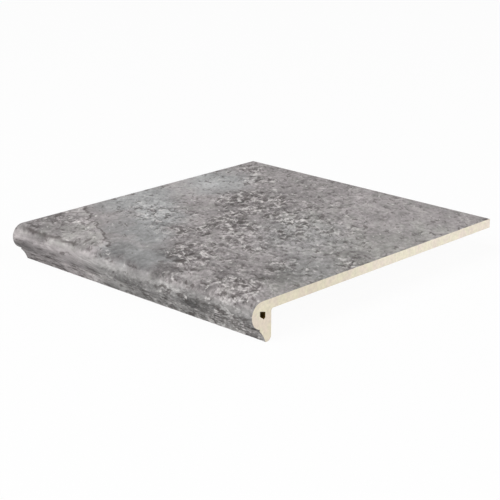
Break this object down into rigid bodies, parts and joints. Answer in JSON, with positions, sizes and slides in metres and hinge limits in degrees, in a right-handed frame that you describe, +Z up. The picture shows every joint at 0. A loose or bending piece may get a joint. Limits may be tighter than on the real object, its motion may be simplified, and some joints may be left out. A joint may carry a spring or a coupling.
{
  "type": "stair tread tile",
  "caption": "Extruded stoneware stair tread tile: a flat stone-look slab with a half-round nose, a quirk and cove below it, a short drop over the riser, and a core hole along the nose.",
  "frame": {"origin": "centre of the tile's footprint, at the level of its foot", "axes": "+Z up, square to the level tread; +Y from the nose to the back edge; X along the nose"},
  "size_m": [0.31, 0.3264, 0.0362],
  "materials": {
    "glazed_stoneware": "matte"
  },
  "bodies": {
    "root": {"tread_tile": "glazed_stoneware"}
  },
  "joints": []
}
